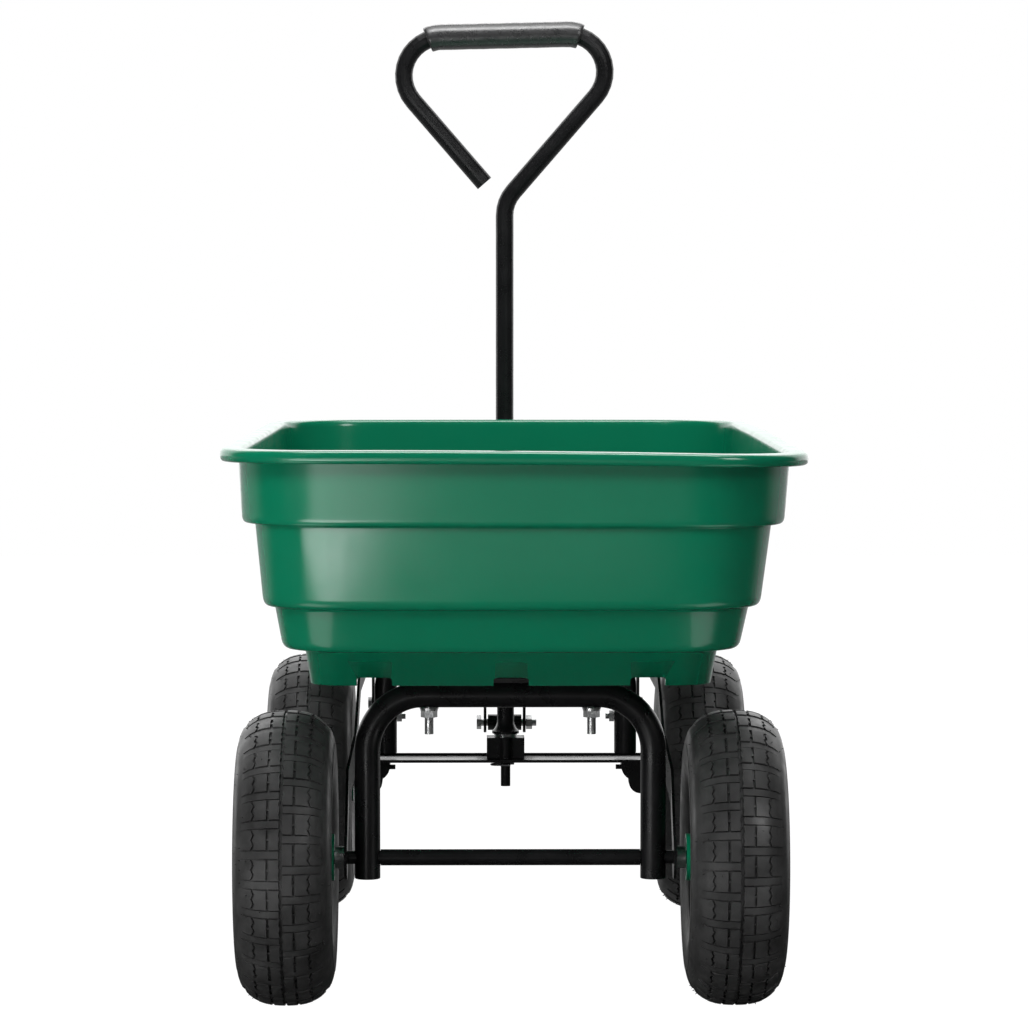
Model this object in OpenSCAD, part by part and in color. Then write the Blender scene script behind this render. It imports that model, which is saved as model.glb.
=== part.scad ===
// Four-wheel garden tipping cart.
// Millimetres. +Z is up, +Y is the way the cart is pulled, +X is across it.
// The origin is on the ground, at the centre of the cart's bounding box.

/* [Wheels] */
// Outside diameter of the tyre
tyre_od = 265; // [255:1:270]
// Width of the tyre
tyre_w = 87; // [84:1:90]
// Distance between the wheel centres, side to side
track = 402; // [398:1:406]
// Distance between the rear and front axles
wheelbase = 580; // [570:5:600]
// Diameter of the axle rod and the stub axles
axle_d = 12; // [12:0.5:13]

/* [Tub] */
// Height of the top of the rim above the ground
rim_z = 506; // [502:1:510]
// Width over the rim at the rear
rim_w = 511; // [506:1:514]
// How much narrower the tub is at the front
tub_taper = 13; // [0:1:20]
// Length over the rim
tub_l = 880; // [870:5:900]
// How far the rim reaches behind the rear axle
overhang = 207.5; // [200:0.5:215]
// Wall of the tub
wall = 3.5; // [3:0.1:4]

/* [Frame] */
// Outside diameter of the hoop tubes
hoop_d = 23; // [22:0.5:24]
// Distance between the centres of the rear hoop's legs
hoop_w = 257; // [254:1:260]
// Distance between the centres of the front hoop's legs
front_hoop_w = 249; // [246:1:252]
// Height of the top of both hoops
hoop_top = 291; // [290:0.5:291.5]
// Bend radius of the hoops, on the tube's centre line
hoop_bend = 50; // [45:1:55]
// Wall of the hoop tubes
hoop_wall = 2; // [1.5:0.1:2.5]

/* [Handle] */
// Distance from the kingpin to the handle's pivot
pivot_reach = 135; // [134:1:138]
// Height of the handle's pivot
pivot_z = 179.3; // [178:0.1:181]
// Outside diameter of the handle tube
handle_d = 19; // [18:0.5:19]
// Wall of the handle tube
handle_wall = 1.5; // [1.2:0.1:2]
// Lean of the upright handle towards the tub, in degrees
lean = 1.5; // [0:0.1:2]
// Angle of the loop's slanted arms from the shaft, in degrees
arm_angle = 40.9; // [38:0.1:44]
// Diameter of the foam grip
grip_d = 28; // [27:0.5:30]

/* [Hidden] */
$fn = 48;

GREEN = [0.0, 0.36, 0.22];
BLACK = [0.06, 0.06, 0.06];
ZINC = [0.75, 0.75, 0.72];
TYRE = [0.12, 0.12, 0.12];
FOAM = [0.25, 0.25, 0.25];

// Clearances
run_gap = 0.05;
part_gap = 0.3;

// Main heights and stations
axle_z = tyre_od/2;
fork_r = 11;
rear_y = -(wheelbase + pivot_reach + fork_r - overhang)/2;
front_y = rear_y + wheelbase;
pivot_y = front_y + pivot_reach;
rim_rear_y = rear_y - overhang;
rim_front_y = rim_rear_y + tub_l;
wheel_x = track/2;
hoop_z = hoop_top - hoop_d/2;

// Tub: height, half width at the rear, inset from the rim at the rear and at the front,
// corner radius
skirt_z = 295;
floor_z = 304;
band1_top = [rim_z - 3, rim_w/2 - 15, 16, 16, 72];
band1_low = [rim_z - 65, rim_w/2 - 19.3, 20, 20, 68];
band2_top = [rim_z - 67, rim_w/2 - 31, 27, 25, 62];
band2_low = [rim_z - 137, rim_w/2 - 39, 37, 32, 58];
band3_top = [rim_z - 140, rim_w/2 - 49, 47, 40, 52];
band3_low = [rim_z - 176, rim_w/2 - 56, 64, 46, 46];
foot_top = [rim_z - 176, rim_w/2 - 75.5, 72, 54, 34];
foot_low = [skirt_z, rim_w/2 - 78.5, 126, 60, 30];
lip_h = 10.5;
lip_t = 3;
floor_t = 4;
tub_bolt_x = 73;
strap_w = 34.6;
strap_t = 4;
strap_bolt_y = [rear_y + 110, rear_y + 500];
notch_x = 120;
notch_w = 31;
notch_h = 8.5;

// Fasteners
m8_r = 4;
m8_hole_r = 4.2;
m8_nut_af = 13;
m8_nut_h = 7.5;

// Chassis
rail_t = 2.5;
rail_h = 22;
rail_x = 147.8;
rail_front_x = front_hoop_w/2 + hoop_d/2 + rail_t/2 + 0.2;
rail_z = 278;
rail_bolt_z = [214, 200];
leg_low_z = 114;
front_leg_z = 162;
collar_d = 20;
hub_in = 158;
hub_out = 228;
axle_end = 245;

// Front axle
kingpin_d = 10;
beam_z = 153.5;
beam_t = 3;
beam_w = 44;
block_z = 178.5;
washer_t = 3;

// Release lever
lever_y = front_y - 27;
lever_z = 299;
lever_d = 7;

// Handle path above the pivot
shaft_start = 37.02;
shaft_l = 506;
elbow_r = 38;
arm_l = 133.4;
corner_r = 39.6;
top_l = 133;
top_slope = 1.35;
top_turn = 90 + arm_angle + top_slope;
free_turn = 90 + arm_angle - top_slope;
free_l = 115.5;
grip_l = 160;

// ---------------------------------------------------------------- helpers

// Hexagon nut or head along +Z
module hex(af, h)
{
    cylinder(h = h, d = af/cos(30), $fn = 6);
}

// A straight stretch of round rod along +Z; the children carry on from its end.
// A core 1 mm thinner reaches a little into its neighbours, so that they fuse.
module straight(d, l)
{
    core = 0.4;
    cylinder(h = l, d = d);
    translate([0, 0, -core]) cylinder(h = l + 2*core, d = d - 1);
    translate([0, 0, l]) children();
}

// A bend of radius r through angle a, towards side * X; the children carry on from its end
module bend(d, r, a, side = 1)
{
    mirror([side < 0 ? 1 : 0, 0, 0])
        translate([r, 0, 0])
            rotate([90, 0, 0])
                rotate([0, 0, 180 - a])
                    rotate_extrude(angle = a)
                        translate([r, 0])
                            circle(d = d);
    after_bend(r, a, side) children();
}

// Puts the children where a bend ends
module after_bend(r, a, side = 1)
{
    translate([side*(r - r*cos(a)), 0, r*sin(a)])
        rotate([0, side*a, 0])
            children();
}

// Inverted U of round rod: leg bottoms at z0, top centre line at z1, w between the legs
module hoop_rod(d, w, z0, z1, r)
{
    leg = z1 - z0 - r;
    translate([-w/2, 0, z0])
        straight(d, leg) bend(d, r, 90)
            straight(d, w - 2*r) bend(d, r, 90)
                straight(d, leg);
}

// Hollow inverted U; the bore runs out through both leg ends
module hoop_tube(w, z0, z1)
{
    difference()
    {
        hoop_rod(hoop_d, w, z0, z1, hoop_bend);
        hoop_rod(hoop_d - 2*hoop_wall, w, z0 - 1, z1, hoop_bend);
    }
}

// Thin corners of the tub's outline at one level, t inside it
module tub_slice(level, t = 0)
{
    corner = level[4];
    rear_x = level[1] - corner;
    front_x = rear_x - tub_taper/2;
    for (sx = [-1, 1])
    {
        translate([sx*rear_x, rim_rear_y + level[2] + corner, level[0]])
            cylinder(h = 0.01, r = corner - t);
        translate([sx*front_x, rim_front_y - level[3] - corner, level[0]])
            cylinder(h = 0.01, r = corner - t);
    }
}

// One tapered band of the tub between two levels, t inside the outer face
module tub_band(low, top, t = 0)
{
    hull()
    {
        tub_slice(low, t);
        tub_slice(top, t);
    }
}

// A level moved up by dz
function lift(level, dz) = [level[0] + dz, level[1], level[2], level[3], level[4]];

// Flat outline of the rim, inset by t
module rim_slab(z, h, t)
{
    level = [z, rim_w/2, 0, 0, 87];
    hull()
    {
        tub_slice(level, t);
        tub_slice(lift(level, h), t);
    }
}

// Both sides of the cart
module both_sides()
{
    children();
    mirror([1, 0, 0]) children();
}

// Ring along +X
module ring_x(x, l, d, bore)
{
    translate([x, 0, 0])
        rotate([0, 90, 0])
            difference()
            {
                cylinder(h = l, d = d);
                translate([0, 0, -1]) cylinder(h = l + 2, d = bore);
            }
}

// ---------------------------------------------------------------- bed

module tub()
{
    skirt_t = 9;
    foot_half = foot_low[1] - tub_taper/2 - skirt_t;
    foot_rear_y = rim_rear_y + foot_low[2] + skirt_t;
    foot_front_y = rim_front_y - foot_low[3] - skirt_t;
    color(GREEN)
    difference()
    {
        union()
        {
            tub_band(band1_low, band1_top);
            tub_band(band2_low, lift(band2_top, 2.1));
            tub_band(band3_low, lift(band3_top, 3.1));
            tub_band(foot_low, foot_top);
            rim_slab(rim_z - lip_h, lip_h - 0.02, 0);
        }
        // space under the rolled rim
        difference()
        {
            rim_slab(rim_z - lip_h - 1, lip_h - 2.5, lip_t);
            tub_band(band1_low, band1_top);
        }
        // inside of the tub
        tub_band(lift(band1_low, 2), lift(band1_top, 4), wall);
        tub_band(lift(band2_low, 2), lift(band2_top, 5), wall);
        tub_band(lift(band3_low, 3), lift(band3_top, 6), wall);
        tub_band(lift(foot_low, floor_z + floor_t - skirt_z), lift(foot_top, 5), wall);
        // under the floor, inside the skirt
        difference()
        {
            translate([-foot_half, foot_rear_y, skirt_z - 1])
                cube([2*foot_half, foot_front_y - foot_rear_y, floor_z - skirt_z + 1]);
            for (sx = [-1, 1])
                translate([sx*tub_bolt_x, rear_y, skirt_z - 2]) cylinder(h = 12, r = 15);
            for (y = strap_bolt_y)
                translate([0, y, skirt_z + 0.1]) cylinder(h = 10, r = 14);
        }
        // notches in the ends of the skirt
        for (x = [-notch_x, 0, notch_x])
            translate([x - notch_w/2, rim_rear_y, skirt_z - 1])
                cube([notch_w, tub_l, notch_h + 1]);
        // notches in the sides for the release lever
        translate([0, lever_y - 8, skirt_z - 1]) cube([rim_w/2, 16, notch_h + 1]);
        // bolt holes
        for (sx = [-1, 1])
            translate([sx*tub_bolt_x, rear_y, skirt_z - 3]) cylinder(h = 40, r = m8_hole_r);
        for (y = strap_bolt_y)
            translate([0, y, skirt_z - 3]) cylinder(h = 40, r = m8_hole_r);
    }
    // feet that stand on the rear hoop and on the front hoop
    color(GREEN)
    for (sx = [-1, 1])
    {
        translate([sx*tub_bolt_x, rear_y, hoop_top + 0.1])
            difference()
            {
                cylinder(h = floor_z - hoop_top, r = 15);
                translate([0, 0, -1]) cylinder(h = 40, r = m8_hole_r);
            }
        translate([sx*60, front_y, hoop_top + part_gap])
            cylinder(h = floor_z - hoop_top, r = 15);
    }
}

module rear_hoop()
{
    color(BLACK)
    difference()
    {
        translate([0, rear_y, 0]) hoop_tube(hoop_w, leg_low_z, hoop_z);
        // pivot holes for the axle
        translate([-rim_w/2, rear_y, axle_z])
            rotate([0, 90, 0]) cylinder(h = rim_w, d = axle_d + 2*run_gap);
        // bolt holes
        for (sx = [-1, 1])
            translate([sx*tub_bolt_x, rear_y, hoop_z - 20]) cylinder(h = 40, r = m8_hole_r);
    }
}

module bed_strap()
{
    color(BLACK)
    difference()
    {
        translate([-strap_w/2, rear_y - 11, hoop_top])
            cube([strap_w, wheelbase + 21, strap_t]);
        for (y = strap_bolt_y)
            translate([0, y, hoop_top - 1]) cylinder(h = 10, r = m8_hole_r);
    }
    // ears for the release lever
    color(BLACK)
    for (x = [-14, 8])
        difference()
        {
            translate([x, lever_y - 7, hoop_top + strap_t]) cube([4, 14, 8]);
            translate([x - 1, lever_y, lever_z])
                rotate([0, 90, 0]) cylinder(h = 8, d = lever_d + 2*run_gap);
        }
}

// Carriage bolt with its round head at the top, from the tub floor down to z0
module carriage_bolt(z0)
{
    head_z = floor_z + floor_t;
    translate([0, 0, z0]) cylinder(h = head_z - z0, r = m8_r);
    translate([0, 0, head_z + 2.05]) cylinder(h = 1.2, r = 9);
    translate([0, 0, head_z]) cylinder(h = 2.1, r = m8_r);
    translate([0, 0, head_z + 3.2])
        intersection()
        {
            translate([0, 0, -9]) sphere(r = 12);
            cylinder(h = 4, r = 9);
        }
}

module tub_bolts()
{
    color(ZINC)
    {
        for (sx = [-1, 1])
            translate([sx*tub_bolt_x, rear_y, 0]) carriage_bolt(hoop_top - hoop_d - 24);
        for (y = strap_bolt_y)
            translate([0, y, 0]) carriage_bolt(hoop_top - 14);
    }
}

// Flange nut with its flange on top, hanging from z
module flange_nut(z)
{
    difference()
    {
        translate([0, 0, z])
        {
            translate([0, 0, -1.5]) cylinder(h = 1.5, r = 8);
            translate([0, 0, -m8_nut_h]) hex(m8_nut_af, m8_nut_h - 1.4);
        }
        translate([0, 0, z - 20]) cylinder(h = 40, r = m8_r + run_gap);
    }
}

module tub_nuts()
{
    color(ZINC)
    {
        for (sx = [-1, 1])
            translate([sx*tub_bolt_x, rear_y, 0]) flange_nut(hoop_top - hoop_d - 1.3);
        for (y = strap_bolt_y)
            translate([0, y, 0]) flange_nut(hoop_top - 0.1);
    }
}

module tub_washers()
{
    color(ZINC)
    {
        // under the nuts on the hoop, a little short of its bends
        for (sx = [-1, 1])
            translate([sx*tub_bolt_x, rear_y, hoop_top - hoop_d - 1.2])
                rotate([0, -90, 0]) ring_x(0, 1, 17, 2*m8_hole_r);
        // under the bolt heads on the tub floor
        for (sx = [-1, 1])
            translate([sx*tub_bolt_x, rear_y, floor_z + floor_t])
                rotate([0, -90, 0]) ring_x(0, 2, 24, 2*m8_hole_r);
        for (y = strap_bolt_y)
            translate([0, y, floor_z + floor_t])
                rotate([0, -90, 0]) ring_x(0, 2, 24, 2*m8_hole_r);
    }
}

// Rod through the ears of the strap with a hook for the front hoop, drawn released
module release_lever()
{
    hook_x = 20;
    hook_t = 5;
    hook_drop = 41;
    color(BLACK)
    translate([0, lever_y, lever_z])
    {
        rotate([0, 90, 0])
            translate([0, 0, -18]) cylinder(h = 238, d = lever_d);
        translate([hook_x, 0, 0])
            rotate([-45, 0, 0])
                rotate([90, 0, 90])
                    linear_extrude(hook_t)
                    {
                        circle(r = 4.7);
                        translate([-5, -hook_drop]) square([10, hook_drop]);
                        translate([-5, -hook_drop]) square([38, 8]);
                    }
    }
}

module lever_knob()
{
    color(BLACK)
    translate([190, lever_y, lever_z])
        ring_x(0, 36, 14, lever_d + 0.02);
}

// ---------------------------------------------------------------- chassis

module rear_axle()
{
    color(BLACK)
    translate([-axle_end, rear_y, axle_z])
        rotate([0, 90, 0]) cylinder(h = 2*axle_end, d = axle_d);
}

module axle_sleeve()
{
    half = hoop_w/2 - hoop_d/2 - part_gap;
    color(BLACK)
    translate([0, rear_y, axle_z]) ring_x(-half, 2*half, 14.6, axle_d + 2*run_gap);
}

// Collars inboard and washers outboard of each wheel, at the axle station y
module collars(y, inner)
{
    both_sides()
        translate([0, y, axle_z])
        {
            ring_x(inner, hub_in - part_gap - inner, collar_d, axle_d + 2*run_gap);
            ring_x(hub_out + part_gap, 2, 24, axle_d + 2*run_gap);
        }
}

// Domed lock nuts at the ends of an axle
module lock_nuts(y)
{
    nut_x = hub_out + part_gap + 2;
    both_sides()
        translate([nut_x, y, axle_z])
            rotate([0, 90, 0])
                difference()
                {
                    union()
                    {
                        hex(19, 9);
                        cylinder(h = 12, r = 8);
                    }
                    translate([0, 0, -1]) cylinder(h = 20, d = axle_d + 2*run_gap);
                }
}

module rear_collars()
{
    color(ZINC) collars(rear_y, rail_x + rail_t/2 + 0.2);
}

module rear_nuts()
{
    color(ZINC) lock_nuts(rear_y);
}

// A stretch of flat bar on edge between two points [x, y, z], h high
module flat_bar(a, b, h)
{
    hull()
    {
        translate([a[0] - rail_t/2, a[1] - 0.5, a[2] - h/2]) cube([rail_t, 1, h]);
        translate([b[0] - rail_t/2, b[1] - 0.5, b[2] - h/2]) cube([rail_t, 1, h]);
    }
}

// Right rail: eye on the axle, riser, joggle, long run to the front hoop's leg
module rail()
{
    riser_y = rear_y + 46;
    joggle_y = rear_y + 74;
    level_y = rear_y + 160;
    color(BLACK)
    difference()
    {
        union()
        {
            translate([rail_x - rail_t/2, rear_y, axle_z])
                rotate([0, 90, 0]) cylinder(h = rail_t, r = 20);
            flat_bar([rail_x, rear_y, axle_z + 5], [rail_x, riser_y, axle_z + 58], 32);
            flat_bar([rail_x, riser_y, axle_z + 58], [rail_x - 6, joggle_y, axle_z + 86], 32);
            flat_bar([rail_x - 6, joggle_y, axle_z + 86], [rail_x - 8, level_y, rail_z], rail_h);
            flat_bar([rail_x - 8, level_y, rail_z], [rail_front_x, front_y - 14, rail_z], rail_h);
            // plate down the leg of the front hoop
            translate([rail_front_x - rail_t/2, front_y - 14.5, 190])
                cube([rail_t, 29, rail_z + rail_h/2 - 190]);
        }
        translate([rail_x - 10, rear_y, axle_z])
            rotate([0, 90, 0]) cylinder(h = 20, d = axle_d + 2*run_gap);
        for (z = rail_bolt_z)
            translate([rail_front_x - 10, front_y, z])
                rotate([0, 90, 0]) cylinder(h = 20, r = 3.2);
    }
}

module left_rail()
{
    mirror([1, 0, 0]) rail();
}

module right_rail()
{
    rail();
}

// Hexagon bolts and nuts that hold the rails to the front hoop
module rail_bolts()
{
    inner_x = front_hoop_w/2 - hoop_d/2;
    outer_x = rail_front_x + rail_t/2;
    color(ZINC)
    both_sides()
        for (z = rail_bolt_z)
            translate([0, front_y, z])
                rotate([0, 90, 0])
                {
                    translate([0, 0, inner_x - 9]) cylinder(h = outer_x - inner_x + 9.5, r = 3);
                    translate([0, 0, outer_x + 0.1]) hex(10, 4);
                    translate([0, 0, inner_x - 5.2]) hex(10, 5);
                }
}

module front_hoop()
{
    color(BLACK)
    difference()
    {
        translate([0, front_y, 0])
            hoop_tube(front_hoop_w, front_leg_z, hoop_z - 0.3);
        for (z = rail_bolt_z)
            translate([-rim_w/2, front_y, z])
                rotate([0, 90, 0]) cylinder(h = rim_w, r = 3.2);
        // seat of the steering post
        translate([0, front_y, hoop_z - 20]) cylinder(h = 20, d = 18);
    }
}

// Post with a flared foot that carries the kingpin
module steering_post()
{
    post_r = 8.8;
    foot_r = 14;
    flare_h = 13;
    foot_z = block_z + washer_t + 0.6;
    color(BLACK)
    translate([0, front_y, 0])
        difference()
        {
            union()
            {
                translate([0, 0, foot_z]) cylinder(h = hoop_z - foot_z, r = post_r);
                translate([0, 0, foot_z])
                    rotate_extrude()
                        difference()
                        {
                            square([foot_r, flare_h]);
                            translate([post_r + flare_h, flare_h]) circle(r = flare_h);
                        }
            }
            translate([0, 0, foot_z - 1]) cylinder(h = 60, d = kingpin_d + 0.02);
        }
}

module kingpin()
{
    color(BLACK)
    difference()
    {
        translate([0, front_y, 127]) cylinder(h = 110, d = kingpin_d);
        translate([-20, front_y, beam_z - 3.5]) rotate([0, 90, 0]) cylinder(h = 40, r = 1.3);
    }
}

module steering_washer()
{
    color(ZINC)
    translate([0, front_y, block_z + part_gap])
        rotate([0, -90, 0]) ring_x(0, washer_t, 24, kingpin_d + 2*run_gap);
}

// R-clip through the lower end of the kingpin
module kingpin_clip()
{
    wire = 2;
    color(ZINC)
    translate([0, front_y, beam_z - 3.5])
    {
        translate([-9, 0, 0]) rotate([0, 90, 0]) cylinder(h = 18, d = wire);
        translate([-9, -6, 0])
            rotate([0, 0, 90])
                rotate_extrude(angle = 180)
                    translate([6, 0]) circle(d = wire, $fn = 24);
        translate([-9, -12, 0]) rotate([0, 90, 0]) cylinder(h = 14, d = wire);
    }
}

// ---------------------------------------------------------------- front axle

module axle_beam()
{
    half = 150;
    color(BLACK)
    difference()
    {
        union()
        {
            translate([-half, front_y - beam_w/2, beam_z]) cube([2*half, beam_w, beam_t]);
            translate([-half, front_y + beam_w/2 - 2, beam_z + beam_t]) cube([2*half, 2, 2.5]);
        }
        translate([0, front_y, beam_z - 1]) cylinder(h = 10, d = kingpin_d + 2*run_gap);
    }
}

module pivot_block()
{
    low = beam_z + beam_t + 0.02;
    color(BLACK)
    translate([0, front_y, low])
        difference()
        {
            union()
            {
                translate([-19.5, -13, 0]) cube([39, 28, block_z - low]);
                translate([0, -13, 0]) cylinder(h = block_z - low, r = 6);
            }
            translate([0, 0, -1]) cylinder(h = 40, d = kingpin_d + 2*run_gap);
        }
}

// Blocks under the ends of the beam that carry the stub axles
module front_knuckles()
{
    depth = 26;
    color(BLACK)
    both_sides()
        translate([0, front_y + depth/2, 0])
            rotate([90, 0, 0])
                difference()
                {
                    linear_extrude(depth)
                    {
                        translate([136, beam_z - 4.1]) circle(r = 16);
                        translate([140, axle_z]) circle(r = 12);
                        translate([136, beam_z - 4.1]) square([14, 2]);
                        translate([128, axle_z]) square([22, 20]);
                    }
                    // level top under the beam and a flat end towards the wheel
                    translate([100, beam_z - 0.02, -1]) cube([60, 30, depth + 2]);
                    translate([149.5, 100, -1]) cube([20, 80, depth + 2]);
                }
    // bolts through the knuckles, with their inner ends showing
    color(BLACK)
    both_sides()
        translate([114.5, front_y - 6, beam_z - 6])
            rotate([0, 90, 0]) cylinder(h = 12, r = 2.5);
}

module stub_axles()
{
    color(BLACK)
    both_sides()
        translate([149.5, front_y, axle_z])
            rotate([0, 90, 0]) cylinder(h = axle_end - 149.5, d = axle_d);
}

module front_collars()
{
    color(ZINC) collars(front_y, 149.8);
}

module front_nuts()
{
    color(ZINC) lock_nuts(front_y);
}

// Tongue from the block to a cross sleeve for the handle's bolt
module handle_bracket()
{
    sleeve_half = 18;
    tongue_t = 12;
    color(BLACK)
    {
        translate([-11, front_y + 15.02, pivot_z - 11.5 - tongue_t/2])
            cube([22, pivot_reach - 15.02, tongue_t]);
        translate([0, pivot_y, pivot_z])
            ring_x(-sleeve_half, 2*sleeve_half, 17, 2*m8_r + 2*run_gap);
    }
}

module handle_bolt()
{
    color(ZINC)
    translate([0, pivot_y, pivot_z])
        rotate([0, 90, 0])
        {
            translate([0, 0, -25]) cylinder(h = 59, r = m8_r);
            translate([0, 0, -30]) hex(m8_nut_af, 5);
        }
}

module handle_nut()
{
    color(ZINC)
    translate([23, pivot_y, pivot_z])
        rotate([0, 90, 0])
            difference()
            {
                hex(m8_nut_af, 6.5);
                translate([0, 0, -1]) cylinder(h = 20, r = m8_r + run_gap);
            }
}

// ---------------------------------------------------------------- handle

// Puts the handle's pieces on the pivot with the upright handle's lean
module on_pivot()
{
    translate([0, pivot_y, pivot_z])
        rotate([lean, 0, 0])
            children();
}

// Station [x, z, heading] a length l further on
function ahead(p, l) = [p[0] + l*sin(p[2]), p[1] + l*cos(p[2]), p[2]];

// Station after a turn through angle a on radius r, both negative towards -X
function turned(p, r, a) = [
    p[0] + r*(cos(p[2]) - cos(p[2] + a)),
    p[1] + r*(sin(p[2] + a) - sin(p[2])),
    p[2] + a
];

// The centre line: shaft, elbow, slanted arm, first corner, top bar, second corner and
// slanted arm with a free end
steps = 12;
shaft_end = ahead([0, shaft_start, 0], shaft_l);
arm_end = ahead(turned(shaft_end, elbow_r, arm_angle), arm_l);
bar_end = ahead(turned(arm_end, -corner_r, -top_turn), top_l);
free_end = ahead(turned(bar_end, -corner_r - 1, -free_turn), free_l);
handle_line = concat(
    [[0, shaft_start, 0]],
    [for (i = [0:4]) turned(shaft_end, elbow_r, arm_angle*i/4)],
    [for (i = [0:steps]) turned(arm_end, -corner_r, -top_turn*i/steps)],
    [for (i = [0:steps]) turned(bar_end, -corner_r - 1, -free_turn*i/steps)],
    [free_end]
);

// Points of the rings of radius r along the centre line
sides = 20;
function rings(r) = [
    for (p = handle_line, k = [0:sides - 1])
        let (c = r*cos(360*k/sides), s = r*sin(360*k/sides))
        [p[0] + c*cos(p[2]), s, p[1] - c*sin(p[2])]
];

// Steel tube, open at both ends
module handle_tube()
{
    n = len(handle_line);
    inner = n*sides;
    last = (n - 1)*sides;
    color(BLACK)
    on_pivot()
        polyhedron(
            points = concat(rings(handle_d/2), rings(handle_d/2 - handle_wall)),
            faces = concat(
                [for (i = [0:n - 2], k = [0:sides - 1]) let (a = i*sides, j = (k + 1) % sides)
                    [a + k, a + sides + k, a + sides + j, a + j]],
                [for (i = [0:n - 2], k = [0:sides - 1])
                    let (a = inner + i*sides, j = (k + 1) % sides)
                    [a + k, a + j, a + sides + j, a + sides + k]],
                [for (k = [0:sides - 1]) let (j = (k + 1) % sides)
                    [k, j, inner + j, inner + k]],
                [for (k = [0:sides - 1]) let (j = (k + 1) % sides)
                    [last + j, last + k, inner + last + k, inner + last + j]]
            )
        );
}

// Puts the children at the start of the top bar
module to_top_bar()
{
    translate([0, 0, shaft_start + shaft_l])
        after_bend(elbow_r, arm_angle)
            translate([0, 0, arm_l])
                after_bend(corner_r, top_turn, -1)
                    children();
}

// Foam sleeve on the top bar, wider inside at its ends, where the tube bends away
module handle_grip()
{
    end_l = (grip_l - top_l)/2;
    end_bore = handle_d + 7;
    color(FOAM)
    on_pivot()
        to_top_bar()
            difference()
            {
                translate([0, 0, -end_l]) cylinder(h = grip_l, d = grip_d);
                translate([0, 0, -grip_l]) cylinder(h = 3*grip_l, d = handle_d + 2*run_gap);
                translate([0, 0, -end_l - 1]) cylinder(h = end_l + 1, d = end_bore);
                translate([0, 0, top_l]) cylinder(h = end_l + 1, d = end_bore);
            }
}

// U-shaped fork over the cross sleeve, with the tube standing on its bridge
module handle_fork()
{
    ear_x = 19.5;
    ear_t = 3;
    bridge_z = 34;
    color(BLACK)
    on_pivot()
        difference()
        {
            union()
            {
                for (x = [-ear_x - ear_t, ear_x])
                    translate([x, 0, 0])
                    {
                        rotate([0, 90, 0]) cylinder(h = ear_t, r = fork_r);
                        translate([0, -fork_r, 0]) cube([ear_t, 2*fork_r, bridge_z + 3]);
                    }
                translate([-ear_x, -fork_r, bridge_z]) cube([2*ear_x, 2*fork_r, 3]);
            }
            translate([-40, 0, 0])
                rotate([0, 90, 0]) cylinder(h = 80, r = m8_r + run_gap);
        }
}

// ---------------------------------------------------------------- wheels

// Wheels are drawn with the axis along +Z, the outer side up, then put on their hubs
module wheel_place(side, y)
{
    translate([side*wheel_x, y, axle_z])
        rotate([0, side*90, 0])
            children();
}

bead_r = 51.3;
bead_half = 24;
bulge_r = 94;

// Outline of the tyre's outside, from the crown (0) to the bead (180), as [radius, side]
function tyre_out(t, side) = t < 90
    ? [bulge_r + (tyre_od/2 - bulge_r)*pow(cos(t), 0.8), side*tyre_w/2*pow(sin(t), 0.8)]
    : [bulge_r - (bulge_r - 63)*pow(sin(t - 90), 0.9), side*(28 + (tyre_w/2 - 28)*cos(t - 90))];

// Outline of the air space
function tyre_in(t, side) = t < 90
    ? [bulge_r + (tyre_od/2 - 10 - bulge_r)*pow(cos(t), 0.8), side*(tyre_w/2 - 5)*pow(sin(t), 0.8)]
    : [bulge_r - (bulge_r - 60)*pow(sin(t - 90), 0.9), side*(18 + (tyre_w/2 - 23)*cos(t - 90))];

module tyre()
{
    color(TYRE)
    rotate_extrude($fn = 96)
        polygon(concat(
            [[57, -14], [bead_r, -14], [bead_r, -bead_half], [60.5, -24.8]],
            [for (t = [180:-10:10]) tyre_out(t, -1)],
            [for (t = [0:10:180]) tyre_out(t, 1)],
            [[60.5, 24.8], [bead_r, bead_half], [bead_r, 14], [57, 14]],
            [for (t = [180:-15:15]) tyre_in(t, 1)],
            [for (t = [0:15:180]) tyre_in(t, -1)]
        ));
}

// Puts the valve's stem in its place: from the inner tube, slanting out through the rim
module on_valve()
{
    translate([0, 63, 4])
        rotate([66.5, 0, 0])
            children();
}

// Inner tube with its valve
module inner_tube()
{
    color(BLACK)
    {
        rotate_extrude()
            translate([88, 0])
                difference()
                {
                    circle(r = 27);
                    circle(r = 25);
                }
        on_valve() cylinder(h = 27, r = 3.5);
        on_valve() cylinder(h = 31, r = 2.5);
    }
}

// Outer half of the two-piece pressed rim; the disc lies on the wheel's centre plane
module rim_half(valve_hole)
{
    disc_t = 2.2;
    hub_r = 21.02;
    color(GREEN)
    difference()
    {
        rotate_extrude()
            polygon([
                [hub_r, 0.05], [51, 0.05], [51, 24.4], [60, 26.2], [62, 28.4], [60.5, 29.8],
                [57.8, 28.9], [48.8, 26.4], [48.8, disc_t], [hub_r, disc_t]
            ]);
        for (a = [45:90:315])
            rotate([0, 0, a]) translate([35, 0, -1]) cylinder(h = 6, r = 3.2);
        if (valve_hole)
            on_valve() cylinder(h = 27, r = 4.2);
    }
}

module rim_outer()
{
    rim_half(true);
}

module rim_inner()
{
    mirror([0, 0, 1]) rim_half(false);
}

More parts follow.
